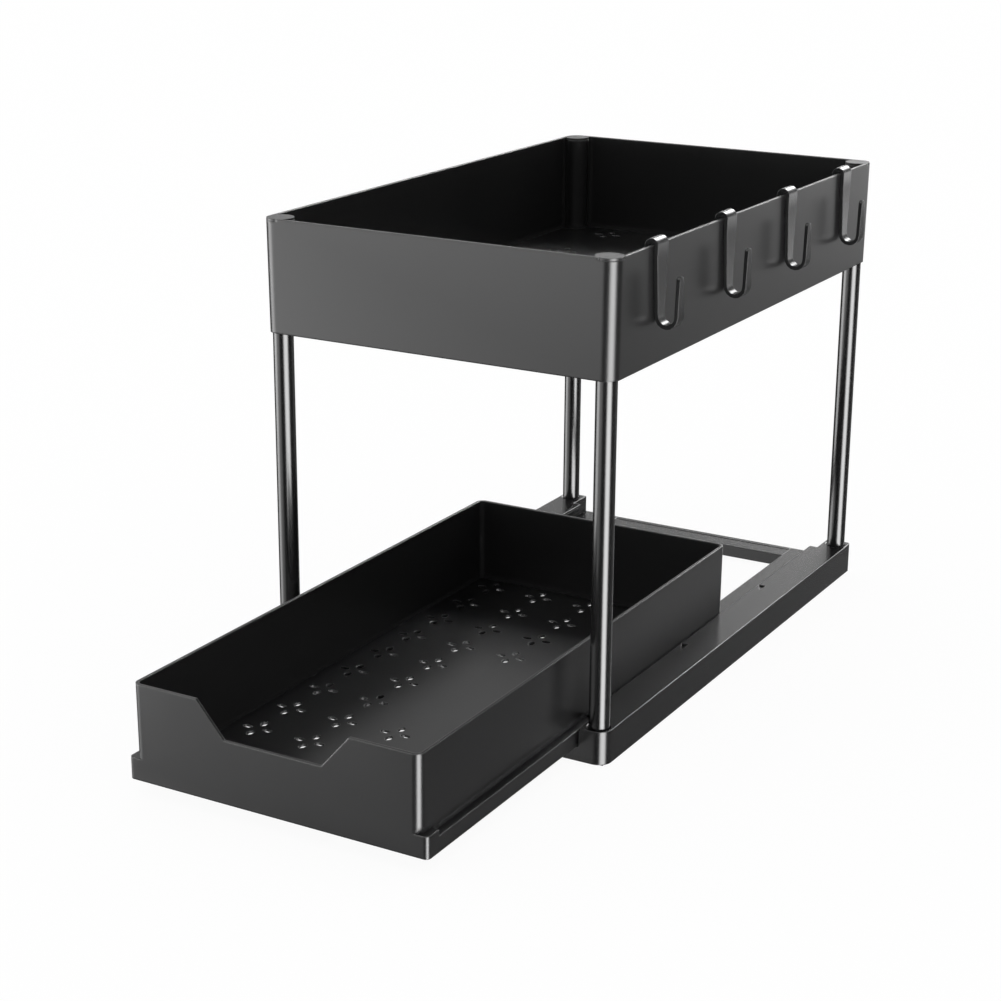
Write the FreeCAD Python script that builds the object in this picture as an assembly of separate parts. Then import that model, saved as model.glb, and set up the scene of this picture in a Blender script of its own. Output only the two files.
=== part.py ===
"""Two-tier under sink organizer: a low base with side rails, a drawer that slides out of it to the
front, four tube posts, an open upper tray on top of them and hooks hung over the tray's right rim.
Millimetres. +Z is up, +X is to the right and the drawer pulls out towards -Y.
The origin is on the floor, under the middle of the base."""
import FreeCAD, Part
import os
from math import cos, radians, sin, tan

V = FreeCAD.Vector

# Stand as a whole
stand_width = 239.0            # over the base rails, and over the tray's rim
stand_depth = 400.0            # over the base rails, and over the tray's rim
post_inset = 8.5               # from a post's axis to the outer faces; the corners are round about it
post_diameter = 12.7           # half-inch tube
post_wall = 0.8
post_clearance = 0.1           # push fit, on the radius

# Base
foot_proud = 0.8               # the soft pads stand this far below the plastic
foot_thickness = 2.0
foot_size = 11.4               # square
ledge_height = 9.7             # top of the ledges that the drawer rests on
lip_thickness = 1.9            # lip that reaches in over the drawer's runner
rail_width = 17.7              # from a rail's outer face to its runner channel
ledge_width = 28.8             # from the runner channel to the open middle
base_wall = 2.0
rail_corner_length = 21.5      # end blocks that hold the posts
rail_bays = 5                  # hollow bays between the stiffening ribs, under each rail
rail_rib = 1.6
socket_floor = 2.0             # plastic left between a post's foot and its pad
socket_mouth = 1.0             # bevel round the mouth of a post's socket
crossbar_width = 18.0
crossbar_middle = 0.3166       # middle bar's place, as a share of the lips' length from their front ends
tongue_length = 14.0           # crossbar's tongue under a ledge
tongue_side = 3.0              # tongue is narrower than its bar by this much on each side
tongue_play = 0.1
tongue_end_gap = 3.0
crossbar_rim = 4.3             # strip along the end bars' outer edges that stands level with the ledges
crossbar_step = 0.25           # the rest of the bars lies this much lower
base_rear_radius = 3.0         # outer rear corners of the base
lip_window_length = 10.0       # three-cornered windows in the lip
lip_window_width = 4.6
lip_window_web = 0.6           # plastic left between a window and the lip's edge
lip_window_pitch = 128.0
lip_window_rear = 117.7        # from the rear face to the first window

# Drawer
drawer_height = 59.8
drawer_wall = 2.0
drawer_floor = 1.6
drawer_corner_radius = 5.3
drawer_draft = 0.25            # degrees
drawer_open = 177.7            # how far it stands pulled out of the base here
runner_reach = 4.8             # runners stand out from the drawer's walls
runner_height = 9.8
runner_wall = 1.6
runner_corner_radius = 3.0
runner_bays = 6                # cored bays under each runner
runner_head_length = 11.5      # taller front end that stops against the lip
runner_head_rise = 3.7
slide_gap = 0.3                # above and below a runner
side_gap = 0.4                 # drawer wall to lip
runner_side_gap = 1.5          # runner to rail
stop_gap = 0.4                 # runner head to lip, drawer closed
grip_top_width = 101.6         # cut-out in the front wall
grip_bottom_width = 65.0
grip_depth = 21.1
grip_corner_radius = 2.0

# Upper tray
tray_underside = 235.3
tray_height = 70.4
tray_wall = 2.0
tray_floor = 2.2
tray_draft = 0.46              # degrees
boss_socket_depth = 45.0
cap_thickness = 1.6
cap_sides = 32                 # flats round a cap
cap_peg = 7.0                  # square peg under a cap
cap_peg_length = 9.0
cap_inset = 0.05               # cap's edge behind the round corner
cap_gap = 0.25                 # shadow line between cap and rim
cap_clearance = 0.05

# Drain holes, four petals to a flower, in both floors
flower_margin_x = 19.5         # from the drawer's outside to the outer flowers
flower_margin_front = 20.2     # from the drawer's front face to the first row
flower_margin_rear = 18.0
flower_columns = 5
flower_rows = 11
flower_bare_rows = 3           # left out of the middle column, at the middle
tray_flower_step = 2           # the tray has every second column and row only
petal_inner = 3.7              # from the flower's centre to a petal's inner tip
petal_length = 7.0
petal_width = 3.7
petal_shoulder = 1.8           # from either tip to the petal's full width

# Hooks on the tray's right rim
hook_count = 4
hook_margin_front = 53.8       # from the tray's front face to the first hook
hook_margin_rear = 57.0        # from the last hook to the tray's rear face
hook_thickness = 2.4
hook_crown = 3.6               # thickness over the rim
hook_width = 13.5              # over the rim
hook_bend_width = 8.2          # at the bottom bend
hook_tip_width = 5.2
hook_wall_gap = 0.35           # outside, hook to tray wall
hook_rim_gap = 0.3
hook_inner_gap = 1.4           # inside, hook to tray wall
hook_inner_leg = 14.0
hook_shoulder = 9.0            # straight full-width stretch below the rim
hook_drop = 48.7               # from the rim to the underside of the bend
hook_mouth = 10.0              # open width of the hook
hook_rise = 31.0               # from the underside of the bend to the tip
hook_bend = 4.2                # outside radius of the two bends over the rim
hook_bend_steps = 4            # flats round a quarter turn

overcut = 1.0                  # cutters reach this far past the face that they open

# Places that follow from the sizes above
half_width = stand_width / 2
half_depth = stand_depth / 2
post_x = half_width - post_inset
post_y = half_depth - post_inset
corners = [(sx, sy) for sx in (-1, 1) for sy in (-1, 1)]
side_names = {-1: "left", 1: "right"}
end_names = {-1: "front", 1: "rear"}

channel_half = half_width - rail_width
opening_half = channel_half - ledge_width
runner_half = channel_half - runner_side_gap
drawer_width = 2 * (runner_half - runner_reach)
drawer_bottom = ledge_height + slide_gap
drawer_rim = drawer_bottom + drawer_height
runner_top = drawer_bottom + runner_height
lip_underside = runner_top + slide_gap
rail_height = lip_underside + lip_thickness
lip_half = drawer_width / 2 + side_gap
lip_end = half_depth - rail_corner_length
middle_bar = lip_end * (2 * crossbar_middle - 1)
crossbar_spans = {"front": (-half_depth, -half_depth + crossbar_width),
                  "middle": (middle_bar - crossbar_width / 2, middle_bar + crossbar_width / 2),
                  "rear": (half_depth - crossbar_width, half_depth)}
socket_bottom = foot_thickness + socket_floor
closed_front = -lip_end - stop_gap - runner_head_length
drawer_depth = half_depth - closed_front
drawer_front = closed_front - drawer_open
drawer_middle = drawer_front + drawer_depth / 2
flower_pitch_x = (drawer_width - 2 * flower_margin_x) / (flower_columns - 1)
flower_pitch_y = (drawer_depth - flower_margin_front - flower_margin_rear) / (flower_rows - 1)
flowers_middle = drawer_middle + (flower_margin_front - flower_margin_rear) / 2

tray_rim = tray_underside + tray_height
tray_floor_top = tray_underside + tray_floor
boss_radius = post_inset - cap_inset
boss_top = tray_rim - cap_thickness
post_top = tray_underside + boss_socket_depth
hook_pitch = (stand_depth - hook_margin_front - hook_margin_rear) / (hook_count - 1)


def box(x0, x1, y0, y1, z0, z1):
    return Part.makeBox(x1 - x0, y1 - y0, z1 - z0, V(x0, y0, z0))


def cylinder(x, y, radius, z0, z1):
    return Part.makeCylinder(radius, z1 - z0, V(x, y, z0))


def square_peg(x, y, size, z0, z1):
    return box(x - size / 2, x + size / 2, y - size / 2, y + size / 2, z0, z1)


def prism(points, direction):
    """Straight-sided outline, swept along a vector."""
    outline = Part.makePolygon(points + points[:1])
    return Part.Face(outline).extrude(direction)


def rounded_outline(width, depth, radius, z, middle=0.0, rear_radius=None):
    """Rectangle with round corners, lying at height z, its centre at y = middle."""
    edges = []
    for sx, sy in ((1, -1), (1, 1), (-1, 1), (-1, -1)):
        r = rear_radius if rear_radius and sy > 0 else radius
        bend = r * cos(radians(45))
        turn = V(sx * (width / 2 - r), middle + sy * (depth / 2 - r), z)
        if sx * sy < 0:
            start, end = V(0, sy * r, 0), V(sx * r, 0, 0)
        else:
            start, end = V(sx * r, 0, 0), V(0, sy * r, 0)
        edges.append(Part.Arc(turn + start, turn + V(sx * bend, sy * bend, 0), turn + end).toShape())
    wire = []
    for arc, following in zip(edges, edges[1:] + edges[:1]):
        wire += [arc, Part.makeLine(arc.Vertexes[-1].Point, following.Vertexes[0].Point)]
    return Part.Wire(wire)


def rounded_prism(width, depth, radius, z0, z1, middle=0.0, rear_radius=None):
    outline = rounded_outline(width, depth, radius, z0, middle, rear_radius)
    return Part.Face(outline).extrude(V(0, 0, z1 - z0))


def tub(width, depth, radius, z0, z1, draft, middle=0.0, upright_front=False):
    """Block with drafted sides; the width and depth are those at its top."""
    lean = (z1 - z0) * tan(radians(draft))
    front = 0 if upright_front else lean
    top = rounded_outline(width, depth, radius, z1, middle)
    bottom = rounded_outline(width - 2 * lean, depth - lean - front, radius, z0, middle + (front - lean) / 2)
    return Part.makeLoft([bottom, top], True, True)


def drain_holes(middle, z0, z1, step=1):
    """Petal-shaped cutters for one floor, in a grid of flowers round (0, middle)."""
    half = petal_width / 2
    outer = petal_inner + petal_length
    near, far = petal_inner + petal_shoulder, outer - petal_shoulder
    outline = [(petal_inner, 0), (near, half), (far, half), (outer, 0), (far, -half), (near, -half)]
    petals = []
    for column in range(0, flower_columns, step):
        from_middle = column - (flower_columns - 1) / 2
        for row in range(0, flower_rows, step):
            along = row - (flower_rows - 1) / 2
            if from_middle == 0 and abs(along) < flower_bare_rows / 2:
                continue
            cx, cy = from_middle * flower_pitch_x, middle + along * flower_pitch_y
            for quarter in range(4):
                c, s = cos(radians(90 * quarter)), sin(radians(90 * quarter))
                points = [V(cx + r * c - t * s, cy + r * s + t * c, z0) for r, t in outline]
                petals.append(prism(points, V(0, 0, z1 - z0)))
    return Part.makeCompound(petals)


def make_rail(side):
    """Right or left side of the base: ledge, runner channel under a lip, and two post sockets."""
    profile = [(opening_half, foot_proud), (opening_half, ledge_height), (channel_half, ledge_height),
               (channel_half, lip_underside), (lip_half, lip_underside), (lip_half, rail_height),
               (half_width, rail_height), (half_width, foot_proud)]
    rail = prism([V(side * x, -half_depth, z) for x, z in profile], V(0, stand_depth, 0))
    rail = rail.common(rounded_prism(stand_width, stand_depth, post_inset, 0, rail_height,
                                     rear_radius=base_rear_radius))

    # hollow underside, in bays between ribs
    bay = (2 * lip_end + rail_rib) / rail_bays
    hollow = [(opening_half + base_wall, 0), (opening_half + base_wall, ledge_height - base_wall),
              (channel_half + base_wall, ledge_height - base_wall),
              (channel_half + base_wall, rail_height - base_wall),
              (half_width - base_wall, rail_height - base_wall), (half_width - base_wall, 0)]
    cuts = []
    for n in range(rail_bays):
        start = -lip_end + n * bay
        cuts.append(prism([V(side * x, start, z) for x, z in hollow], V(0, bay - rail_rib, 0)))

    # the lip stops short of the post blocks, and has two windows
    for end in (-1, 1):
        y0, y1 = sorted((end * lip_end, end * (half_depth + overcut)))
        x0, x1 = sorted((side * (lip_half - overcut), side * channel_half))
        cuts.append(box(x0, x1, y0, y1, ledge_height, rail_height + overcut))
        # hollow end of the ledge
        y0, y1 = sorted((end * (lip_end + base_wall), end * (half_depth - base_wall)))
        x0, x1 = sorted((side * (opening_half + base_wall), side * (channel_half - base_wall)))
        cuts.append(box(x0, x1, y0, y1, 0, ledge_height - base_wall))
    # ways in for the crossbars' tongues
    x0, x1 = sorted((side * (opening_half - overcut), side * (opening_half + tongue_length + tongue_end_gap)))
    for y0, y1 in crossbar_spans.values():
        cuts.append(box(x0, x1, y0 + tongue_side, y1 - tongue_side, 0, ledge_height - base_wall))
    for n in range(2):
        y = half_depth - lip_window_rear - n * lip_window_pitch
        inner = lip_half + lip_window_web
        outer = inner + lip_window_width
        window = [V(side * inner, y, lip_underside), V(side * outer, y, lip_underside),
                  V(side * outer, y - lip_window_length, lip_underside)]
        cuts.append(prism(window, V(0, 0, lip_thickness)))

    for end in (-1, 1):
        x, y = side * post_x, end * post_y
        bore = post_diameter / 2 + post_clearance
        cuts.append(cylinder(x, y, bore, socket_bottom, rail_height))
        cuts.append(Part.makeCone(bore, bore + socket_mouth, socket_mouth,
                                  V(x, y, rail_height - socket_mouth)))
        cuts.append(square_peg(x, y, foot_size, 0, foot_thickness))
    return rail.cut(Part.makeCompound(cuts)).removeSplitter()


def make_crossbar(place):
    """Front, middle or rear bar between the ledges, open below, with a tongue at each end."""
    y0, y1 = crossbar_spans[place]
    inner = opening_half - base_wall
    bar = box(-opening_half, opening_half, y0, y1, foot_proud, ledge_height)
    bar = bar.cut(box(-inner, inner, y0 + base_wall, y1 - base_wall, 0, ledge_height - base_wall))
    s0 = y0 + crossbar_rim if place == "front" else y0 - overcut
    s1 = y1 - crossbar_rim if place == "rear" else y1 + overcut
    bar = bar.cut(box(-opening_half, opening_half, s0, s1, ledge_height - crossbar_step, ledge_height))
    reach = opening_half + tongue_length
    low = foot_proud + base_wall
    high = ledge_height - base_wall - tongue_play
    for side in (-1, 1):
        x0, x1 = sorted((side * inner, side * reach))
        bar = bar.fuse(box(x0, x1, y0 + tongue_side + tongue_play, y1 - tongue_side - tongue_play, low, high))
    return bar.removeSplitter()


def make_foot(side, end):
    """Soft square pad set into the underside of a post block."""
    return square_peg(side * post_x, end * post_y, foot_size, 0, foot_thickness)


def make_post(side, end):
    """Steel tube from the floor of its base socket to the top of its tray socket."""
    x, y = side * post_x, end * post_y
    outside = cylinder(x, y, post_diameter / 2, socket_bottom, post_top)
    return outside.cut(cylinder(x, y, post_diameter / 2 - post_wall, socket_bottom, post_top))


def make_drawer():
    """Open box with a hand cut-out in front, drain holes and a runner along each side."""
    front, rear = drawer_front, drawer_front + drawer_depth
    body = tub(drawer_width, drawer_depth, drawer_corner_radius, drawer_bottom, drawer_rim,
               drawer_draft, drawer_middle, upright_front=True)
    runner = rounded_prism(2 * runner_half, drawer_depth, runner_corner_radius, drawer_bottom, runner_top,
                           drawer_middle)
    head = rounded_prism(2 * runner_half, drawer_depth, runner_corner_radius, drawer_bottom,
                         runner_top + runner_head_rise, drawer_middle)
    head = head.common(box(-runner_half, runner_half, front, front + runner_head_length, 0, drawer_rim))
    inside_radius = drawer_corner_radius - drawer_wall
    inside = tub(drawer_width - 2 * drawer_wall, drawer_depth - 2 * drawer_wall, inside_radius,
                 drawer_bottom + drawer_floor, drawer_rim, drawer_draft, drawer_middle)
    drawer = body.fuse([runner, head]).cut(inside)

    # runners are cored from below
    draft_in = drawer_height * tan(radians(drawer_draft))
    wall_outside = drawer_width / 2 - draft_in
    bay = (drawer_depth - runner_head_length - 2 * runner_wall) / runner_bays
    cuts = []
    for side in (-1, 1):
        x0, x1 = sorted((side * wall_outside, side * (runner_half - runner_wall)))
        for n in range(runner_bays):
            y0 = front + runner_head_length + runner_wall + n * bay
            cuts.append(box(x0, x1, y0, y0 + bay - runner_wall, drawer_bottom - overcut,
                            runner_top - runner_wall))

    grip = [V(x, front - overcut, z) for x, z in
            ((-grip_top_width / 2, drawer_rim), (-grip_bottom_width / 2, drawer_rim - grip_depth),
             (grip_bottom_width / 2, drawer_rim - grip_depth), (grip_top_width / 2, drawer_rim))]
    grip = prism(grip, V(0, drawer_wall + 2 * overcut, 0))
    bends = [edge for edge in grip.Edges
             if abs(edge.BoundBox.ZMax - (drawer_rim - grip_depth)) < 0.01 and edge.BoundBox.XLength < 0.01]
    cuts.append(grip.makeFillet(grip_corner_radius, bends))
    cuts.append(drain_holes(flowers_middle, drawer_bottom - overcut, drawer_bottom + drawer_floor + overcut))
    return drawer.cut(Part.makeCompound(cuts)).removeSplitter()


def tray_block(inset, z0):
    """Tray's outside with its drafted walls, or a smaller block inside them."""
    return tub(stand_width - 2 * inset, stand_depth - 2 * inset, post_inset - inset, z0, tray_rim, tray_draft)


def make_tray():
    """Open upper tray with a column in each corner, socketed for a post below and a cap above."""
    shell = tray_block(0, tray_underside).cut(tray_block(tray_wall, tray_floor_top))
    core = tray_block(tray_wall / 2, tray_underside)
    columns = [cylinder(sx * post_x, sy * post_y, boss_radius, tray_underside, boss_top)
               for sx, sy in corners]
    tray = shell.fuse([column.common(core) for column in columns])
    cuts = [drain_holes(0, tray_underside - overcut, tray_floor_top + overcut, tray_flower_step)]
    for sx, sy in corners:
        x, y = sx * post_x, sy * post_y
        cuts.append(cylinder(x, y, post_diameter / 2 + post_clearance, tray_underside, post_top))
        cuts.append(square_peg(x, y, cap_peg + 2 * cap_clearance, post_top, boss_top))
        cuts.append(cylinder(x, y, boss_radius + cap_gap, boss_top, tray_rim + overcut))
    return tray.cut(Part.makeCompound(cuts)).removeSplitter()


def make_cap(side, end):
    """Round cap on a corner column, flush with the rim, with a peg pressed into the column."""
    x, y = side * post_x, end * post_y
    turns = [radians(360 * n / cap_sides) for n in range(cap_sides)]
    disc = prism([V(x + boss_radius * cos(t), y + boss_radius * sin(t), boss_top) for t in turns],
                 V(0, 0, cap_thickness))
    return disc.fuse(square_peg(x, y, cap_peg, boss_top - cap_peg_length, boss_top)).removeSplitter()


def make_hook(place):
    """Flat strap bent over the rim and up again at the bottom, narrowing towards its tip."""
    inner_wall = half_width - tray_wall - hook_inner_gap
    outer_wall = half_width + hook_wall_gap
    xa, xb = inner_wall - hook_thickness, inner_wall
    xc, xd = outer_wall, outer_wall + hook_thickness
    xe, xf = xd + hook_mouth, xd + hook_mouth + hook_thickness
    under = tray_rim + hook_rim_gap
    top = under + hook_crown
    leg_end = under - hook_inner_leg
    bend_x = (xd + xe) / 2
    bend_in, bend_out = hook_mouth / 2, hook_mouth / 2 + hook_thickness
    bottom = tray_rim - hook_drop
    bend_z = bottom + bend_out
    tip = bottom + hook_rise
    y = place - hook_width / 2

    def bend(x, z, radius, start, end):
        """Points round a bend, from one angle to another, in degrees from +X towards +Z."""
        steps = round(abs(end - start) / 90) * hook_bend_steps
        turns = [radians(start + (end - start) * n / steps) for n in range(steps + 1)]
        return [(x + radius * cos(t), z + radius * sin(t)) for t in turns]

    strap = [(xb, under), (xb, leg_end), (xa, leg_end)]
    strap += bend(xa + hook_bend, top - hook_bend, hook_bend, 180, 90)
    strap += bend(xd - hook_bend, top - hook_bend, hook_bend, 90, 0)
    strap += bend(bend_x, bend_z, bend_in, 180, 360)
    strap += [(xe, tip), (xf, tip)]
    strap += bend(bend_x, bend_z, bend_out, 360, 180)
    strap += [(xc, under)]
    strap = prism([V(x, y, z) for x, z in strap], V(0, hook_width, 0))

    # widths of the strap: full over the rim, narrower down to the bend, narrower again to a round tip
    wide, mid, slim = hook_width / 2, hook_bend_width / 2, hook_tip_width / 2
    neck = tray_rim - hook_shoulder
    back = prism([V(xa, place + w, z) for w, z in
                  ((-wide, top), (wide, top), (wide, neck), (mid, bend_z), (mid, bottom), (-mid, bottom),
                   (-mid, bend_z), (-wide, neck))], V(bend_x - xa, 0, 0))
    front = [(-slim, tip - slim), (-mid, bend_z), (-mid, bottom), (mid, bottom), (mid, bend_z)]
    front += bend(0, tip - slim, slim, 0, 180)[:-1]
    front = prism([V(bend_x, place + w, z) for w, z in front], V(xf - bend_x, 0, 0))
    return strap.common(back.fuse(front).removeSplitter()).removeSplitter()


pieces = {"upper_tray": make_tray(), "drawer": make_drawer()}
for side, side_name in side_names.items():
    pieces[f"base_rail_{side_name}"] = make_rail(side)
for place in crossbar_spans:
    pieces[f"base_crossbar_{place}"] = make_crossbar(place)
for end, end_name in end_names.items():
    for side, side_name in side_names.items():
        corner = f"{end_name}_{side_name}"
        pieces[f"post_{corner}"] = make_post(side, end)
        pieces[f"foot_pad_{corner}"] = make_foot(side, end)
        pieces[f"corner_cap_{corner}"] = make_cap(side, end)
for n in range(hook_count):
    pieces[f"hook_{n + 1}"] = make_hook(-half_depth + hook_margin_front + n * hook_pitch)

os.makedirs("parts", exist_ok=True)
for name, shape in pieces.items():
    shape.exportStep(f"parts/{name}.step")
    print(name, "solids", len(shape.Solids), "valid", shape.isValid(), "volume", round(shape.Volume, 1))
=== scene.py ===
from math import cos, radians, sin
import bpy
from mathutils import Matrix, Vector

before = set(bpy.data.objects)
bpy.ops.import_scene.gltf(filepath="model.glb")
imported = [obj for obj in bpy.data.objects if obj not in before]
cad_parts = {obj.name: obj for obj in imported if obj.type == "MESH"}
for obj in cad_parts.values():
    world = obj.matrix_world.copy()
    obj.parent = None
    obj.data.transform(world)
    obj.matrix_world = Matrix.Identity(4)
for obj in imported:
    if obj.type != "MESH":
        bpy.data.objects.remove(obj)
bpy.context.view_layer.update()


# Base: two side rails and three crossbars that tongue in under their ledges.
# Charcoal polypropylene, injection moulded in a fine spark-eroded cavity, half glossy and hard wearing.
# The drawer slides on the ledges, under the lips; the posts stand in the corner sockets.
def add_sockets(group, side, kind, *names):
    """Sockets of one kind on the INPUT or OUTPUT side of a node group."""
    for name in names:
        group.interface.new_socket(name, in_out=side, socket_type=f"NodeSocket{kind}")


def map_range(tree, value, low=0.0, high=1.0, to_low=0.0, to_high=1.0, smooth=False):
    """A value brought from one range to another and held there, straight or by a smooth step."""
    node = tree.nodes.new("ShaderNodeMapRange")
    node.interpolation_type = "SMOOTHSTEP" if smooth else "LINEAR"
    node.inputs["From Min"].default_value = low
    node.inputs["From Max"].default_value = high
    node.inputs["To Min"].default_value = to_low
    node.inputs["To Max"].default_value = to_high
    tree.links.new(value, node.inputs["Value"])
    return node.outputs["Result"]


def calculate(tree, operation, *values):
    """One step of arithmetic on sockets and plain numbers."""
    node = tree.nodes.new("ShaderNodeMath")
    node.operation = operation
    for socket, value in zip(node.inputs, values):
        if isinstance(value, bpy.types.NodeSocket):
            tree.links.new(value, socket)
        else:
            socket.default_value = value
    return node.outputs["Value"]


def skin_group():
    """Skin of a moulding: fine spark grain, and broad flow marks in tone and gloss."""
    group = bpy.data.node_groups.new("moulded skin", "ShaderNodeTree")
    add_sockets(group, "INPUT", "Color", "Colour", "Flow Colour")
    add_sockets(group, "INPUT", "Float", "Grain Scale", "Roughness", "Roughness Spread")
    add_sockets(group, "OUTPUT", "Color", "Colour")
    add_sockets(group, "OUTPUT", "Float", "Roughness", "Height")
    nodes, links = group.nodes, group.links
    given, made = nodes.new("NodeGroupInput"), nodes.new("NodeGroupOutput")
    place = nodes.new("ShaderNodeTexCoord")

    grain = nodes.new("ShaderNodeTexNoise")
    grain.inputs["Detail"].default_value = 3.0
    grain.inputs["Roughness"].default_value = 0.6
    links.new(place.outputs["Object"], grain.inputs["Vector"])
    links.new(given.outputs["Grain Scale"], grain.inputs["Scale"])
    links.new(grain.outputs["Fac"], made.inputs["Height"])

    flow = nodes.new("ShaderNodeTexNoise")
    flow.inputs["Scale"].default_value = 14.0
    flow.inputs["Detail"].default_value = 4.0
    flow.inputs["Distortion"].default_value = 0.6
    links.new(place.outputs["Object"], flow.inputs["Vector"])
    tone = nodes.new("ShaderNodeMix")
    tone.data_type = "RGBA"
    links.new(flow.outputs["Fac"], tone.inputs["Factor"])
    links.new(given.outputs["Colour"], tone.inputs["A"])
    links.new(given.outputs["Flow Colour"], tone.inputs["B"])
    links.new(tone.outputs["Result"], made.inputs["Colour"])

    noise_middle = 0.5
    swing = calculate(group, "SUBTRACT", flow.outputs["Fac"], noise_middle)
    roughness = calculate(group, "MULTIPLY_ADD", swing, given.outputs["Roughness Spread"],
                          given.outputs["Roughness"])
    links.new(roughness, made.inputs["Roughness"])
    return group


def edge_group():
    """Edges as a mould leaves them: their soft radius, the upper edges, painted paler in patches, partly as
    wear and partly as a painted highlight, and the faces that lie open, clear of holes and inner corners."""
    group = bpy.data.node_groups.new("broken edges", "ShaderNodeTree")
    add_sockets(group, "INPUT", "Float", "Radius")
    add_sockets(group, "OUTPUT", "Vector", "Normal")
    add_sockets(group, "OUTPUT", "Float", "Edge", "Wear And Highlight", "Open")
    nodes, links = group.nodes, group.links
    given, made = nodes.new("NodeGroupInput"), nodes.new("NodeGroupOutput")
    flat = nodes.new("ShaderNodeNewGeometry")

    cavity = nodes.new("ShaderNodeAmbientOcclusion")
    cavity.samples = 8
    cavity.only_local = True
    cavity.inputs["Distance"].default_value = 0.004
    clear = map_range(group, cavity.outputs["AO"], low=0.74, high=0.96)
    flat_parts = nodes.new("ShaderNodeSeparateXYZ")
    links.new(flat.outputs["Normal"], flat_parts.inputs["Vector"])
    open_face = calculate(group, "MAXIMUM", clear, flat_parts.outputs["Z"])
    links.new(open_face, made.inputs["Open"])

    rounding = nodes.new("ShaderNodeBevel")
    rounding.samples = 6
    links.new(given.outputs["Radius"], rounding.inputs["Radius"])
    outer = map_range(group, cavity.outputs["AO"], low=0.75, high=0.95)
    broken = nodes.new("ShaderNodeMix")
    broken.data_type = "VECTOR"
    links.new(outer, broken.inputs["Factor"])
    links.new(flat.outputs["Normal"], broken.inputs["A"])
    links.new(rounding.outputs["Normal"], broken.inputs["B"])
    links.new(broken.outputs["Result"], made.inputs["Normal"])

    turned = nodes.new("ShaderNodeVectorMath")
    turned.operation = "DOT_PRODUCT"
    links.new(broken.outputs["Result"], turned.inputs[0])
    links.new(flat.outputs["Normal"], turned.inputs[1])
    edge = map_range(group, turned.outputs["Value"], low=0.995, high=0.80)
    broken_parts = nodes.new("ShaderNodeSeparateXYZ")
    links.new(broken.outputs["Result"], broken_parts.inputs["Vector"])
    upward = map_range(group, broken_parts.outputs["Z"], low=-0.05, high=0.15)
    upper_edge = calculate(group, "MULTIPLY", edge, upward)
    links.new(upper_edge, made.inputs["Edge"])

    place = nodes.new("ShaderNodeTexCoord")
    patches = nodes.new("ShaderNodeTexNoise")
    patches.inputs["Scale"].default_value = 60.0
    patches.inputs["Detail"].default_value = 5.0
    links.new(place.outputs["Object"], patches.inputs["Vector"])
    # upper edges painted paler in patches: partly rubbed wear, partly a painted highlight where they catch
    # the light
    worn = map_range(group, patches.outputs["Fac"], low=0.35, high=0.7, to_low=0.6)
    wear_and_highlight = calculate(group, "MULTIPLY", upper_edge, worn)
    links.new(wear_and_highlight, made.inputs["Wear And Highlight"])
    return group


moulded_skin = skin_group()
broken_edges = edge_group()


def new_material(name):
    """A material, its node tree and its shader."""
    material = bpy.data.materials.new(name)
    material.use_nodes = True
    return material, material.node_tree, material.node_tree.nodes["Principled BSDF"]


def add_skin(tree, colour, flow_colour, roughness, spread, grain_scale):
    """The moulded skin in a material, with the material's own values."""
    skin = tree.nodes.new("ShaderNodeGroup")
    skin.node_tree = moulded_skin
    skin.inputs["Colour"].default_value = (*colour, 1)
    skin.inputs["Flow Colour"].default_value = (*flow_colour, 1)
    skin.inputs["Grain Scale"].default_value = grain_scale
    skin.inputs["Roughness"].default_value = roughness
    skin.inputs["Roughness Spread"].default_value = spread
    return skin.outputs


def add_relief(tree, shader, height, strength, depth, normal=None):
    """Fine relief on a surface, with its depth in metres."""
    bump = tree.nodes.new("ShaderNodeBump")
    bump.inputs["Strength"].default_value = strength
    bump.inputs["Distance"].default_value = depth
    tree.links.new(height, bump.inputs["Height"])
    if normal:
        tree.links.new(normal, bump.inputs["Normal"])
    tree.links.new(bump.outputs["Normal"], shader.inputs["Normal"])


def moulded_plastic(name, colour, flow_colour, wear_and_highlight_colour, roughness, spread, grain_scale, grain_depth,
                    edge_radius):
    """Moulded plastic, duller on its edges and in its holes; depth and radius are in metres."""
    edge_dulling, recess_dulling = 0.16, 0.7
    material, tree, shader = new_material(name)
    shader.inputs["IOR"].default_value = 1.5
    skin = add_skin(tree, colour, flow_colour, roughness, spread, grain_scale)
    edges = tree.nodes.new("ShaderNodeGroup")
    edges.node_tree = broken_edges
    edges.inputs["Radius"].default_value = edge_radius

    # base colour turns paler on the upper edges: partly wear, partly a painted highlight
    wear_and_highlight_tint = tree.nodes.new("ShaderNodeMix")
    wear_and_highlight_tint.data_type = "RGBA"
    wear_and_highlight_tint.inputs["B"].default_value = (*wear_and_highlight_colour, 1)
    tree.links.new(edges.outputs["Wear And Highlight"], wear_and_highlight_tint.inputs["Factor"])
    tree.links.new(skin["Colour"], wear_and_highlight_tint.inputs["A"])
    tree.links.new(wear_and_highlight_tint.outputs["Result"], shader.inputs["Base Color"])

    on_edges = calculate(tree, "MULTIPLY_ADD", edges.outputs["Edge"], edge_dulling, skin["Roughness"])
    in_holes = map_range(tree, edges.outputs["Open"], to_low=recess_dulling, to_high=0.0)
    dulled = calculate(tree, "ADD", on_edges, in_holes)
    dulled.node.use_clamp = True
    tree.links.new(dulled, shader.inputs["Roughness"])
    add_relief(tree, shader, skin["Height"], strength=0.35, depth=grain_depth, normal=edges.outputs["Normal"])
    return material


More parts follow.
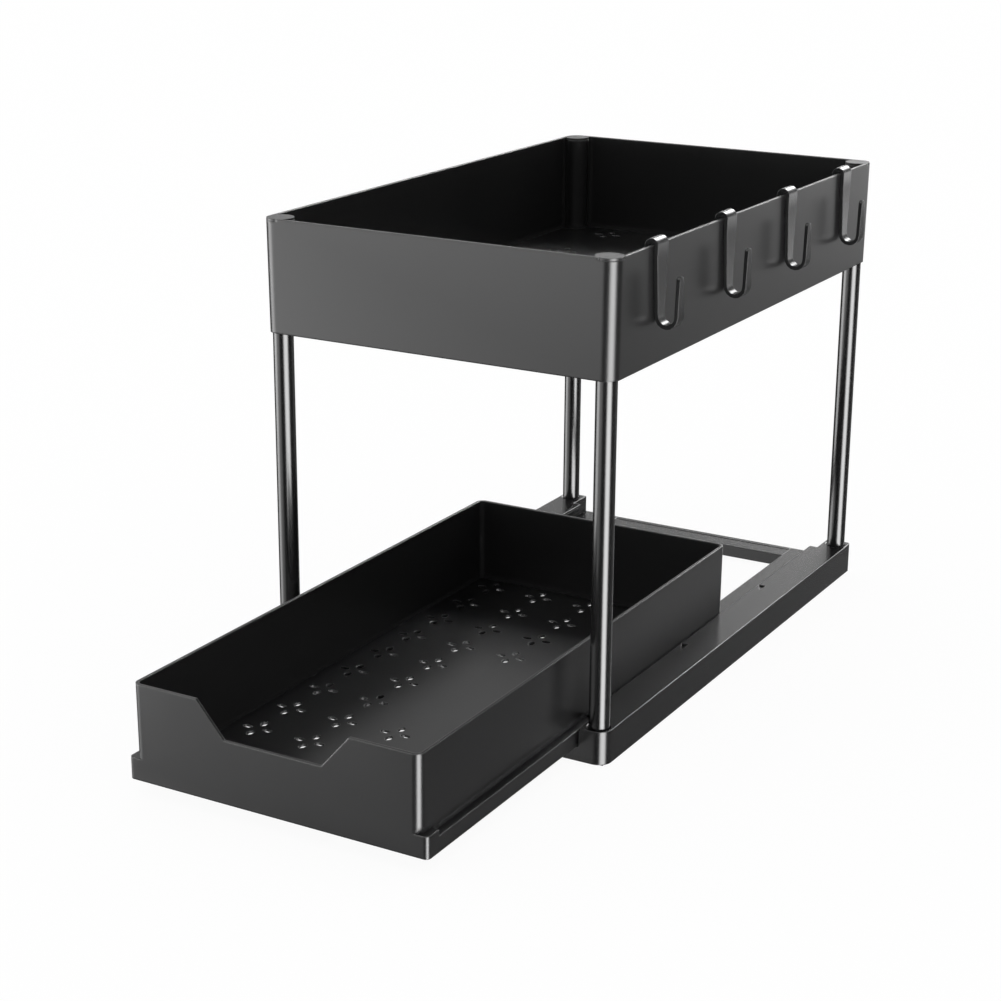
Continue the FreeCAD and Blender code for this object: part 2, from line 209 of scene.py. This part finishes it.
def smooth_group():
    """Round faces shade as round: edges under the angle are smooth, the others stay sharp."""
    round_angle, weld_distance = radians(32), 1e-6
    group = bpy.data.node_groups.new("smooth round faces", "GeometryNodeTree")
    add_sockets(group, "INPUT", "Geometry", "Mesh")
    add_sockets(group, "OUTPUT", "Geometry", "Mesh")
    nodes, links = group.nodes, group.links
    given, made = nodes.new("NodeGroupInput"), nodes.new("NodeGroupOutput")
    plain = nodes.new("GeometryNodeRemoveAttribute")
    plain.inputs["Name"].default_value = "custom_normal"
    weld = nodes.new("GeometryNodeMergeByDistance")
    weld.inputs["Distance"].default_value = weld_distance
    faces = nodes.new("GeometryNodeSetShadeSmooth")
    faces.domain = "FACE"
    angle = nodes.new("GeometryNodeInputMeshEdgeAngle")
    gentle = nodes.new("FunctionNodeCompare")
    gentle.data_type, gentle.operation = "FLOAT", "LESS_THAN"
    gentle.inputs["B"].default_value = round_angle
    edges = nodes.new("GeometryNodeSetShadeSmooth")
    edges.domain = "EDGE"
    links.new(given.outputs["Mesh"], plain.inputs["Geometry"])
    links.new(plain.outputs["Geometry"], weld.inputs["Geometry"])
    links.new(weld.outputs["Geometry"], faces.inputs["Geometry"])
    links.new(faces.outputs["Geometry"], edges.inputs["Geometry"])
    links.new(angle.outputs["Unsigned Angle"], gentle.inputs["A"])
    links.new(gentle.outputs["Result"], edges.inputs["Shade Smooth"])
    links.new(edges.outputs["Geometry"], made.inputs["Mesh"])
    return group


smooth_round_faces = smooth_group()


def finish_piece(node, material):
    """Gives a CAD node its finish and smooth round faces."""
    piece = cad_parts[node]
    piece.data.materials.clear()
    piece.data.materials.append(material)
    piece.modifiers.new("smooth round faces", "NODES").node_group = smooth_round_faces


base_plastic = moulded_plastic("base plastic", colour=(0.008, 0.008, 0.0083),
                               flow_colour=(0.011, 0.011, 0.0113), wear_and_highlight_colour=(0.11, 0.11, 0.11),
                               roughness=0.22, spread=0.05, grain_scale=2400.0, grain_depth=0.00001,
                               edge_radius=0.0009)
for node in ("base_rail_left", "base_rail_right", "base_crossbar_front", "base_crossbar_middle",
             "base_crossbar_rear"):
    finish_piece(node, base_plastic)


# Foot pads: square soft pads set into the undersides of the corner blocks.
# Black rubber, die cut from sheet and glued in, dull and a little dusty.
pad_rubber, tree, shader = new_material("pad rubber")
shader.inputs["Specular IOR Level"].default_value = 0.3
skin = add_skin(tree, colour=(0.014, 0.014, 0.014), flow_colour=(0.035, 0.034, 0.033), roughness=0.85,
                spread=0.15, grain_scale=900.0)
tree.links.new(skin["Colour"], shader.inputs["Base Color"])
tree.links.new(skin["Roughness"], shader.inputs["Roughness"])
add_relief(tree, shader, skin["Height"], strength=0.5, depth=0.0002)
corners = [f"{end}_{side}" for end in ("front", "rear") for side in ("left", "right")]
for corner in corners:
    finish_piece(f"foot_pad_{corner}", pad_rubber)


# Posts: half-inch steel tubes, pushed into the sockets of the base and of the tray.
# Black enamel over the steel, glossy, with the slight orange peel of a sprayed and baked coat
# and faint streaks along the tube from wiping.
tube_enamel, tree, shader = new_material("tube enamel")
nodes, links = tree.nodes, tree.links
shader.inputs["IOR"].default_value = 1.55
place = nodes.new("ShaderNodeTexCoord")
peel = nodes.new("ShaderNodeTexNoise")
peel.inputs["Scale"].default_value = 420.0
peel.inputs["Detail"].default_value = 1.5
links.new(place.outputs["Object"], peel.inputs["Vector"])
add_relief(tree, shader, peel.outputs["Fac"], strength=0.12, depth=0.0001)
along = nodes.new("ShaderNodeMapping")
along.inputs["Scale"].default_value = (1.0, 1.0, 0.06)
links.new(place.outputs["Object"], along.inputs["Vector"])
wipe = nodes.new("ShaderNodeTexNoise")
wipe.inputs["Scale"].default_value = 600.0
wipe.inputs["Detail"].default_value = 3.0
links.new(along.outputs["Vector"], wipe.inputs["Vector"])
wiped = map_range(tree, wipe.outputs["Fac"], to_low=0.17, to_high=0.24)
links.new(wiped, shader.inputs["Roughness"])
tone = nodes.new("ShaderNodeMix")
tone.data_type = "RGBA"
tone.inputs["A"].default_value = (0.006, 0.006, 0.0062, 1)
tone.inputs["B"].default_value = (0.009, 0.009, 0.0093, 1)
links.new(wipe.outputs["Fac"], tone.inputs["Factor"])
links.new(tone.outputs["Result"], shader.inputs["Base Color"])
for corner in corners:
    finish_piece(f"post_{corner}", tube_enamel)


# Upper tray: one deep moulding with a column in each corner that takes a post from below.
# Charcoal polypropylene like the base's, a little duller, with drain holes in its floor.
tray_plastic = moulded_plastic("tray plastic", colour=(0.007, 0.007, 0.0072),
                               flow_colour=(0.009, 0.009, 0.0092), wear_and_highlight_colour=(0.11, 0.11, 0.11),
                               roughness=0.29, spread=0.06, grain_scale=2400.0, grain_depth=0.00005,
                               edge_radius=0.0012)
finish_piece("upper_tray", tray_plastic)


# Corner caps: round plugs that close the tops of the tray's columns, flush with its rim.
# Moulded apart from the tray, in a slightly paler and duller batch, and pressed in by a peg.
cap_plastic = moulded_plastic("cap plastic", colour=(0.016, 0.016, 0.0164),
                              flow_colour=(0.020, 0.020, 0.0204), wear_and_highlight_colour=(0.04, 0.04, 0.04),
                              roughness=0.36, spread=0.06, grain_scale=3000.0, grain_depth=0.00005,
                              edge_radius=0.0004)
for corner in corners:
    finish_piece(f"corner_cap_{corner}", cap_plastic)


# Hooks: flat straps bent over the tray's right rim and up again, narrowing to a round tip.
# Moulded in charcoal plastic with a smoother skin than the tray's; they only hang there and slide along.
hook_plastic = moulded_plastic("hook plastic", colour=(0.008, 0.008, 0.0083),
                               flow_colour=(0.010, 0.010, 0.0103), wear_and_highlight_colour=(0.03, 0.03, 0.03),
                               roughness=0.24, spread=0.05, grain_scale=3200.0, grain_depth=0.00003,
                               edge_radius=0.0006)
for number in range(1, 5):
    finish_piece(f"hook_{number}", hook_plastic)


# Drawer: one open moulding that slides on the base's ledges by a runner along each side.
# Charcoal polypropylene as dull as the tray's, with a hand cut-out in its front and drain holes in its floor.
drawer_plastic = moulded_plastic("drawer plastic", colour=(0.008, 0.008, 0.0083),
                                 flow_colour=(0.010, 0.010, 0.0103), wear_and_highlight_colour=(0.11, 0.11, 0.11),
                                 roughness=0.29, spread=0.07, grain_scale=2400.0, grain_depth=0.00005,
                                 edge_radius=0.0012)
finish_piece("drawer", drawer_plastic)


# Floor: a plain white sheet that the stand is photographed on.
# The camera sees it almost evenly white, with a faint shadow; reflections see the studio's cards instead.
floor_half, paper_white, even_share = 6.0, 0.94, 0.94
floor_mesh = bpy.data.meshes.new("floor")
floor_mesh.from_pydata([(-floor_half, -floor_half, 0), (floor_half, -floor_half, 0),
                        (floor_half, floor_half, 0), (-floor_half, floor_half, 0)], [], [(0, 1, 2, 3)])
floor = bpy.data.objects.new("floor", floor_mesh)
bpy.context.scene.collection.objects.link(floor)
floor.visible_glossy = False
floor_white = bpy.data.materials.new("floor white")
floor_white.use_nodes = True
tree = floor_white.node_tree
nodes, links = tree.nodes, tree.links
nodes.clear()
out = nodes.new("ShaderNodeOutputMaterial")
paper = nodes.new("ShaderNodeBsdfDiffuse")
paper.inputs["Color"].default_value = (paper_white, paper_white, paper_white, 1)
even_white = nodes.new("ShaderNodeEmission")
even_white.inputs["Color"].default_value = (1, 1, 1, 1)
light_path = nodes.new("ShaderNodeLightPath")
share = calculate(tree, "MULTIPLY", light_path.outputs["Is Camera Ray"], even_share)
mix = nodes.new("ShaderNodeMixShader")
links.new(share, mix.inputs["Fac"])
links.new(paper.outputs["BSDF"], mix.inputs[1])
links.new(even_white.outputs["Emission"], mix.inputs[2])
links.new(mix.outputs["Shader"], out.inputs["Surface"])
floor_mesh.materials.append(floor_white)


# Studio: a white dome lights all surfaces evenly; only reflections see a grey tent with soft cards instead.
# Cards below the table's level show in the upright faces, with the key from the right front.
# Those above it, most of them behind the stand, show in its tops, rims and round edges.
world = bpy.data.worlds.new("studio")
bpy.context.scene.world = world
world.use_nodes = True
world.cycles.sampling_method = "NONE"
sky = world.node_tree
nodes, links = sky.nodes, sky.links
nodes.clear()
out = nodes.new("ShaderNodeOutputWorld")
place = nodes.new("ShaderNodeTexCoord")
split = nodes.new("ShaderNodeSeparateXYZ")
links.new(place.outputs["Generated"], split.inputs["Vector"])
height = split.outputs["Z"]
level = nodes.new("ShaderNodeVectorMath")
level.operation = "MULTIPLY"
level.inputs[1].default_value = (1, 1, 0)
links.new(place.outputs["Generated"], level.inputs[0])
heading = nodes.new("ShaderNodeVectorMath")
heading.operation = "NORMALIZE"
links.new(level.outputs["Vector"], heading.inputs[0])


def card(azimuth, half_width, softness, strength, rise, fade=None):
    """Soft card, with angles in degrees and its azimuth from the front towards the right. It comes in over
    the heights of rise and goes out over those of fade, which are sines of the elevation."""
    facing = nodes.new("ShaderNodeVectorMath")
    facing.operation = "DOT_PRODUCT"
    facing.inputs[1].default_value = (sin(radians(azimuth)), -cos(radians(azimuth)), 0)
    links.new(heading.outputs["Vector"], facing.inputs[0])
    outside, inside = cos(radians(half_width + softness)), cos(radians(half_width))
    across = map_range(sky, facing.outputs["Value"], outside, inside, 0.0, strength, smooth=True)
    light = calculate(sky, "MULTIPLY", across, map_range(sky, height, *rise, smooth=True))
    if fade:
        light = calculate(sky, "MULTIPLY", light, map_range(sky, height, *fade, 1.0, 0.0, smooth=True))
    return light


table_level = (-0.02, 0.06)
key = card(azimuth=59, half_width=5, softness=27, strength=18.0, rise=(-1.2, -0.95), fade=table_level)
fill = card(azimuth=-47, half_width=8, softness=38, strength=5.5, rise=(-0.57, 0.04), fade=table_level)
strip = card(azimuth=-66, half_width=8, softness=16, strength=6.0, rise=(-0.5, -0.2), fade=table_level)
rear = card(azimuth=186, half_width=26, softness=11, strength=3.1, rise=(-0.21, -0.08), fade=table_level)
skirt = card(azimuth=150, half_width=25, softness=20, strength=0.12, rise=(-0.8, -0.5), fade=table_level)
band = card(azimuth=150, half_width=8, softness=6, strength=0.5, rise=(-0.30, -0.26), fade=(-0.22, -0.18))
shelf = card(azimuth=194, half_width=4, softness=7, strength=0.75, rise=(0.27, 0.31), fade=(0.38, 0.44))
low_edge = card(azimuth=181, half_width=7, softness=8, strength=11.0, rise=(0.20, 0.32), fade=(0.46, 0.56))
high_edge = card(azimuth=181, half_width=8, softness=8, strength=44.0, rise=(0.47, 0.56), fade=(0.70, 0.80))
top_glow = card(azimuth=212, half_width=14, softness=12, strength=0.36, rise=(0.0, 0.18), fade=(0.50, 0.70))
crown = card(azimuth=-60, half_width=30, softness=25, strength=2.0, rise=(0.45, 0.62))
side = card(azimuth=-85, half_width=14, softness=12, strength=7.0, rise=(-0.05, 0.05), fade=(0.40, 0.55))
reflected = map_range(sky, height, low=-0.08, high=0.04, to_low=0.11, to_high=0.5, smooth=True)
for light in (key, fill, strip, rear, skirt, band, shelf, low_edge, high_edge, top_glow, crown, side):
    reflected = calculate(sky, "ADD", reflected, light)
tent = nodes.new("ShaderNodeBackground")
links.new(reflected, tent.inputs["Strength"])
dome = nodes.new("ShaderNodeBackground")
dome.inputs["Color"].default_value = (1, 1, 1, 1)
light_path = nodes.new("ShaderNodeLightPath")
mix = nodes.new("ShaderNodeMixShader")
links.new(light_path.outputs["Is Glossy Ray"], mix.inputs["Fac"])
links.new(dome.outputs["Background"], mix.inputs[1])
links.new(tent.outputs["Background"], mix.inputs[2])
links.new(mix.outputs["Shader"], out.inputs["Surface"])


# Camera: to the right of the drawer's front and a little above the tray, as in the photograph.
# Angles are written in degrees and lengths in metres; the focal length is in pixels of the photograph.
azimuth, elevation, roll = radians(29.6123), radians(18.029), radians(0.3706)
target = Vector((-0.039027, -0.047827, 0.098019))
distance = 1.437209
focal_pixels, image_pixels = 2141.235, 1001
camera_data = bpy.data.cameras.new("camera")
camera_data.sensor_width = 36.0
camera_data.lens = focal_pixels / image_pixels * camera_data.sensor_width
camera = bpy.data.objects.new("camera", camera_data)
bpy.context.scene.collection.objects.link(camera)
bpy.context.scene.camera = camera
back = Vector((sin(azimuth) * cos(elevation), -cos(azimuth) * cos(elevation), sin(elevation)))
right = Vector((cos(azimuth), sin(azimuth), 0))
up = back.cross(right)
right, up = right * cos(roll) + up * sin(roll), up * cos(roll) - right * sin(roll)
turn = Matrix((right, up, back)).transposed().to_4x4()
camera.matrix_world = Matrix.Translation(target + back * distance) @ turn

bpy.context.scene.view_settings.view_transform = "Standard"
